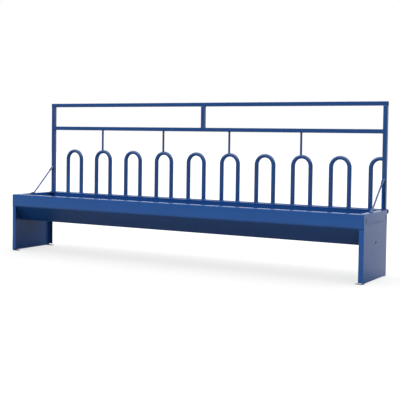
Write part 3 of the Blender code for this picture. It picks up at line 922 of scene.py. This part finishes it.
def frame_welds(finish):
    """Where the head frame's tubes and rods meet: a bead round each end."""
    rail_top = RAIL_HIGH.z + BEAD_LIFT
    deep = TUBE / 2 - BEAD_INSET
    flattened = HOOP_OD / 2 * (1 - HOOP_FLATTENING)
    leg_foot = (HOOP_LOW.x + HOOP_OD / 2, HOOP_PLANE_Y, rail_top)
    leg_path = round_path(leg_foot, (HOOP_OD / 2, deep), (0, 1))
    leg = weld_bead("hoop_1_left_weld", leg_path, WELD, finish)
    copy_bead(leg, "hoop_1_right_weld", (2 * HOOP_HALF, 0, 0))
    for number in range(2, 10):
        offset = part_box(f"hoop_{number}")[0].x - HOOP_LOW.x
        copy_bead(leg, f"hoop_{number}_left_weld", (offset, 0, 0))
        copy_bead(leg, f"hoop_{number}_right_weld", (offset + 2 * HOOP_HALF, 0, 0))
    half_low, half_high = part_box("half_hoop_10")
    copy_bead(leg, "half_hoop_left_weld", (half_low.x - HOOP_LOW.x, 0, 0))
    crown = (half_high.x, HOOP_PLANE_Y, half_high.z - flattened)
    weld_bead("half_hoop_right_weld", round_path(crown, (deep, flattened), (1, 2)), WELD, finish)

    post_path = square_path((POST_X, HOOP_PLANE_Y, rail_top), (TUBE / 2, deep), (0, 1))
    post = weld_bead("right_post_foot_weld", post_path, WELD, finish)
    copy_bead(post, "left_post_foot_weld", (-2 * POST_X, 0, 0))
    strut_low, strut_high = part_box("center_strut")
    strut_x = (strut_low.x + strut_high.x) / 2
    under_top = strut_high.z - BEAD_LIFT - rail_top
    for name, x, rise in (
        ("right_post_top_weld", POST_X, under_top),
        ("left_post_top_weld", -POST_X, under_top),
        ("strut_top_weld", strut_x, under_top),
        ("strut_foot_weld", strut_x, strut_low.z + BEAD_LIFT - rail_top),
    ):
        copy_bead(post, name, (x - POST_X, 0, rise))
    neck_low, neck_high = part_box("neck_rail")
    neck_end = (neck_high.x - BEAD_LIFT, HOOP_PLANE_Y, (neck_low.z + neck_high.z) / 2)
    neck_path = square_path(neck_end, (deep, TUBE / 2), (1, 2))
    neck = weld_bead("neck_right_weld", neck_path, WELD, finish)
    copy_bead(neck, "neck_left_weld", (-2 * neck_end[0], 0, 0))

    first_low, first_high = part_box("hanger_rod_1")
    rod_x = (first_low.x + first_high.x) / 2
    radius = (first_high.x - first_low.x) / 2
    rod_top = (rod_x, HOOP_PLANE_Y, first_high.z - ROD_BEAD_LIFT)
    top_path = round_path(rod_top, (radius, radius), (0, 1))
    top = weld_bead("hanger_1_top_weld", top_path, ROD_WELD, finish)
    hoop_low, hoop_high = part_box("hoop_2")
    crown_x = (hoop_low.x + hoop_high.x) / 2
    saddle = round_path((rod_x, HOOP_PLANE_Y, hoop_high.z), (radius, radius), (0, 1))
    for point in saddle:
        across = point.y - HOOP_PLANE_Y
        along = point.x - crown_x
        point.z -= across * across / HOOP_OD + along * along / (2 * (HOOP_HALF + flattened))
    foot = weld_bead("hanger_1_foot_weld", saddle, ROD_WELD, finish)
    for number in range(2, 5):
        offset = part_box(f"hanger_rod_{number}")[0].x - first_low.x
        copy_bead(top, f"hanger_{number}_top_weld", (offset, 0, 0))
        copy_bead(foot, f"hanger_{number}_foot_weld", (offset, 0, 0))

    stay_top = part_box("right_stay")[1].z + STAY_WELD / 4
    post_face = HOOP_PLANE_Y - TUBE / 2 - STAY_WELD / 4
    across_top = [
        Vector((POST_X + reach, post_face, stay_top))
        for reach in (-STAY_WELD_HALF_LENGTH, STAY_WELD_HALF_LENGTH)
    ]
    stay = weld_bead("right_stay_weld", across_top, STAY_WELD, finish, closed=False)
    copy_bead(stay, "left_stay_weld", (-2 * POST_X, 0, 0))


def sheet_welds(finish):
    """The trough's ends, the lips' mitres, the stitches on the base rail and the feet."""
    inner = SHEET + SEAM_INSET
    wall = WALL - inner
    half_floor = WALL - SLOPE_RUN - inner
    floor_z = TROUGH_LOW.z + inner
    apron_z = RIM - APRON
    lip_z = RIM - 2 * BEND_RADIUS
    seam_x = HALF_LENGTH - SHEET - WELD / 2
    inside = [
        Vector((seam_x, TROUGH_CENTRE_Y + y, z)) for y, z in (
            (-wall, lip_z),
            (-wall, apron_z),
            (-half_floor, floor_z),
            (half_floor, floor_z),
            (wall, apron_z),
            (wall, lip_z),
        )
    ]
    seam = weld_bead("right_trough_seam", inside, WELD, finish, closed=False)
    copy_bead(seam, "left_trough_seam", (-2 * seam_x, 0, 0))
    apron_y = WALL - BEND_RADIUS + BEAD_LIFT
    under_z = TROUGH_LOW.z - WELD / 4
    below = [
        Vector((seam_x, TROUGH_CENTRE_Y + y, z)) for y, z in (
            (-apron_y, apron_z - BEND_RADIUS),
            (-WALL + SLOPE_RUN, under_z),
            (WALL - SLOPE_RUN, under_z),
            (apron_y, apron_z - BEND_RADIUS),
        )
    ]
    under = weld_bead("right_under_seam", below, WELD, finish, closed=False)
    copy_bead(under, "left_under_seam", (-2 * seam_x, 0, 0))

    mitre_z = RIM - MITRE_WELD_DEPTH
    for end_name, end_side in (("right", 1), ("left", -1)):
        for face_name, face_side in (("front", -1), ("back", 1)):
            corner = Vector((end_side * HALF_LENGTH, TROUGH_CENTRE_Y + face_side * WALL, mitre_z))
            inwards = Vector((-end_side, -face_side, 0))
            line = [corner + inwards * reach for reach in (BEND_RADIUS, LIP - SHEET / 2)]
            name = f"{end_name}_{face_name}_mitre_weld"
            weld_bead(name, line, MITRE_WELD, finish, closed=False)

    first = Vector((HOOP_LOW.x + HOOP_HALF, RAIL_LOW.y - 2 * CLOSE, RIM - STITCH_WELD_DEPTH))
    half_stitch = Vector((STITCH_HALF_LENGTH, 0, 0))
    line = [first - half_stitch, first + half_stitch]
    stitch = weld_bead("rail_stitch_1", line, STITCH_WELD, finish, closed=False)
    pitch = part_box("hoop_2")[0].x - HOOP_LOW.x
    for number in range(2, 11):
        copy_bead(stitch, f"rail_stitch_{number}", ((number - 1) * pitch, 0, 0))

    foot_low, foot_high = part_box("right_front_foot")
    line = [
        Vector((seam_x, y, foot_high.z + SHEET / 2))
        for y in (foot_low.y + FOOT_WELD_FRONT_GAP, foot_high.y - FOOT_WELD_BACK_GAP)
    ]
    foot = weld_bead("right_front_foot_weld", line, FOOT_WELD, finish, closed=False)
    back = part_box("right_back_foot")[0].y - foot_low.y - (FOOT_WELD_FRONT_GAP - FOOT_WELD_BACK_GAP)
    copy_bead(foot, "right_back_foot_weld", (0, back, 0))
    copy_bead(foot, "left_front_foot_weld", (-2 * seam_x, 0, 0))
    copy_bead(foot, "left_back_foot_weld", (-2 * seam_x, back, 0))


def build():
    sheet_blue = (SHEET_BLUE, SHEET_BLUE_THICK, SHEET_WAVINESS)
    enamel = stoved_enamel("stoved_blue_enamel", *sheet_blue)
    end_enamel = stoved_enamel("stoved_blue_enamel_on_end_sheet", *sheet_blue, END_MARKS)
    tube_blue = (TUBE_BLUE, TUBE_BLUE_THICK, TUBE_WAVINESS)
    tube_enamel = stoved_enamel("stoved_blue_enamel_on_tube", *tube_blue)
    bare_bore = mill_scale("black_mill_scale")
    zinc = zinc_plate("dull_zinc_plate")
    for node in ("base_rail", "left_post", "right_post", "top_rail", "neck_rail", "center_strut"):
        square_tube(node, tube_enamel, bare_bore)
    all_hoops(tube_enamel)
    hanger_rods(tube_enamel)
    stays(tube_enamel)
    trough_sheet(enamel)
    end_sheets(end_enamel)
    feet(zinc)
    fasteners(zinc)
    frame_welds(tube_enamel)
    sheet_welds(enamel)


# Studio
def white_studio():
    """The camera sees plain white. Reflections see the same white behind the object and
    a dimmer room in front of it, and the surfaces get an even, soft light."""
    world = bpy.data.worlds.new("white_studio")
    bpy.context.scene.world = world
    world.use_nodes = True
    tree = world.node_tree
    background = tree.nodes["Background"]
    path = add_node(tree, "ShaderNodeLightPath")
    way = add_node(tree, "ShaderNodeTexCoord").outputs["Generated"]
    back = add_node(tree, "ShaderNodeSeparateXYZ", inputs={"Vector": way}).outputs["Y"]
    room = add_node(tree, "ShaderNodeMapRange", inputs={
        "Value": back, "From Min": -0.2, "From Max": 0.7, "To Min": ROOM_FRONT, "To Max": 1.0,
    })
    reflected = add_node(tree, "ShaderNodeMix", {"data_type": "FLOAT"}, {
        "Factor": path.outputs["Is Glossy Ray"], "A": AMBIENT, "B": room.outputs["Result"],
    })
    strength = add_node(tree, "ShaderNodeMix", {"data_type": "FLOAT"}, {
        "Factor": path.outputs["Is Camera Ray"], "A": reflected.outputs["Result"], "B": 1.0,
    })
    background.inputs["Color"].default_value = (1, 1, 1, 1)
    tree.links.new(strength.outputs["Result"], background.inputs["Strength"])


def white_floor():
    """Matt studio paper that the camera, and the reflections of what lies behind the object, see as
    white, but for the object's own shadow. Its glow is painted: brighter behind the trough, where it
    hides the shadow there, and in reflections only towards the right and behind, as a painted
    reflection."""
    deselect()
    bpy.ops.mesh.primitive_plane_add(size=FLOOR_SIZE, location=(0, 0, 0))
    floor = active()
    floor.name = "studio_floor"
    finish = bpy.data.materials.new("matt_studio_paper")
    finish.use_nodes = True
    tree = finish.node_tree
    shader = tree.nodes["Principled BSDF"]
    shader.inputs["Roughness"].default_value = 0.9
    shader.inputs["Specular IOR Level"].default_value = 0.0
    shader.inputs["Emission Color"].default_value = (1, 1, 1, 1)
    path = add_node(tree, "ShaderNodeLightPath")
    by_camera = path.outputs["Is Camera Ray"]
    # The paper the camera sees is pale with a faint shadow; what it throws back is dimmer
    shade = add_node(tree, "ShaderNodeMix", {"data_type": "RGBA"}, {
        "Factor": by_camera, "A": linear(PAPER), "B": linear(PAPER_SEEN),
    })
    tree.links.new(shade.outputs["Result"], shader.inputs["Base Color"])
    place = add_node(tree, "ShaderNodeTexCoord").outputs["Object"]
    along = add_node(tree, "ShaderNodeSeparateXYZ", inputs={"Vector": place})
    # The glow the camera sees is painted stronger behind the trough, where it hides the object's
    # shadow
    seen_lift = add_node(tree, "ShaderNodeMapRange", {"interpolation_type": "SMOOTHSTEP"}, {
        "Value": along.outputs["Y"], "From Min": 0.2, "From Max": 0.6,
        "To Min": FLOOR_LIFT, "To Max": FLOOR_LIFT + PAINTED_BACK_GLOW,
    })
    # Painted reflection: in glossy rays the paper glows only towards the right and behind the object
    right = add_node(tree, "ShaderNodeMapRange", {"interpolation_type": "SMOOTHSTEP"}, {
        "Value": along.outputs["X"], "From Min": -0.6, "From Max": 1.4,
        "To Min": 0.0, "To Max": PAINTED_REFLECTED_GLOW,
    })
    behind = add_node(tree, "ShaderNodeMapRange", {"interpolation_type": "SMOOTHSTEP"}, {
        "Value": along.outputs["Y"], "From Min": -0.4, "From Max": 0.6,
        "To Min": 0.0, "To Max": right.outputs["Result"],
    })
    in_gloss = add_node(tree, "ShaderNodeMix", {"data_type": "FLOAT"}, {
        "Factor": path.outputs["Is Glossy Ray"], "A": 0.0, "B": behind.outputs["Result"],
    })
    lift = add_node(tree, "ShaderNodeMix", {"data_type": "FLOAT"}, {
        "Factor": by_camera, "A": in_gloss.outputs["Result"], "B": seen_lift.outputs["Result"],
    })
    tree.links.new(lift.outputs["Result"], shader.inputs["Emission Strength"])
    floor.data.materials.append(finish)


def soft_sun(name, way, strength, spread):
    """A lamp far off, the same all along the trough, shining from the given way. It isn't
    mirrored in the enamel: the strip box and the room are."""
    deselect()
    bpy.ops.object.light_add(type="SUN", location=Vector(way) * 5)
    lamp = bpy.context.object
    lamp.name = name
    lamp.data.energy = strength
    lamp.data.angle = math.radians(spread)
    lamp.rotation_euler = Vector(way).to_track_quat("Z", "Y").to_euler()
    lamp.visible_glossy = False


def small_spot(name, place, target, power, cone):
    """A small lamp on a stand, aimed at one spot through a narrow snoot."""
    deselect()
    bpy.ops.object.light_add(type="SPOT", location=place)
    lamp = bpy.context.object
    lamp.name = name
    lamp.data.energy = power
    lamp.data.spot_size = math.radians(cone)
    lamp.data.spot_blend = 0.6
    lamp.data.shadow_soft_size = 0.03
    lamp.rotation_euler = (Vector(place) - Vector(target)).to_track_quat("Z", "Y").to_euler()
    lamp.visible_glossy = False


def studio_card(name, box, colour, glow, sees):
    """A card out of the camera's sight that works only on the kinds of ray given."""
    low, high = (Vector(corner) for corner in box)
    deselect()
    bpy.ops.mesh.primitive_cube_add(size=1, location=(low + high) / 2)
    card = active()
    card.name = name
    card.scale = high - low
    bpy.ops.object.transform_apply(location=False, rotation=False, scale=True)
    for kind in ("camera", "diffuse", "glossy", "transmission", "shadow"):
        setattr(card, "visible_" + kind, kind in sees)
    finish = bpy.data.materials.new(name)
    finish.use_nodes = True
    shader = finish.node_tree.nodes["Principled BSDF"]
    shader.inputs["Base Color"].default_value = linear(colour)
    shader.inputs["Emission Color"].default_value = (1, 1, 1, 1)
    shader.inputs["Emission Strength"].default_value = glow
    card.data.materials.append(finish)


def lamps():
    soft_sun("overhead_key", way=(-0.15, 0.20, 0.95), strength=3.3, spread=110)
    soft_sun("low_front_fill", way=(-0.04, -0.99, 0.12), strength=1.57, spread=1)
    soft_sun("right_fill", way=(0.90, 0.35, 0.30), strength=0.5, spread=60)
    # A snooted lamp over the trough opens the dark corner under the left end's lip
    small_spot("left_corner_light", CORNER_LAMP_PLACE, CORNER_LAMP_TARGET, power=30, cone=26)
    # A flag keeps the low light off the trough's underside, which stands in its own shade
    studio_card("black_flag", FLAG_BOX, colour="#101010", glow=0.0, sees=("shadow",))
    # A strip box overhead, seen only in the gloss, draws the light line along the tubes
    studio_card("strip_box", STRIP_BOX, colour="#FFFFFF", glow=STRIP_GLOW, sees=("glossy",))


def photo_camera():
    data = bpy.data.cameras.new("photo_camera")
    camera = bpy.data.objects.new("photo_camera", data)
    bpy.context.collection.objects.link(camera)
    turn = Matrix.Rotation(math.radians(CAMERA_YAW), 4, "Z")
    tilt = Matrix.Rotation(math.radians(90 - CAMERA_PITCH), 4, "X")
    roll = Matrix.Rotation(math.radians(CAMERA_ROLL), 4, "Z")
    camera.matrix_world = Matrix.Translation(CAMERA_PLACE) @ turn @ tilt @ roll
    data.sensor_width = 36
    data.lens = CAMERA_LENS
    data.shift_y = CAMERA_SHIFT_Y
    data.clip_end = 200
    bpy.context.scene.camera = camera


photo_camera()
build()
white_studio()
white_floor()
lamps()
bpy.context.scene.view_settings.view_transform = "Standard"
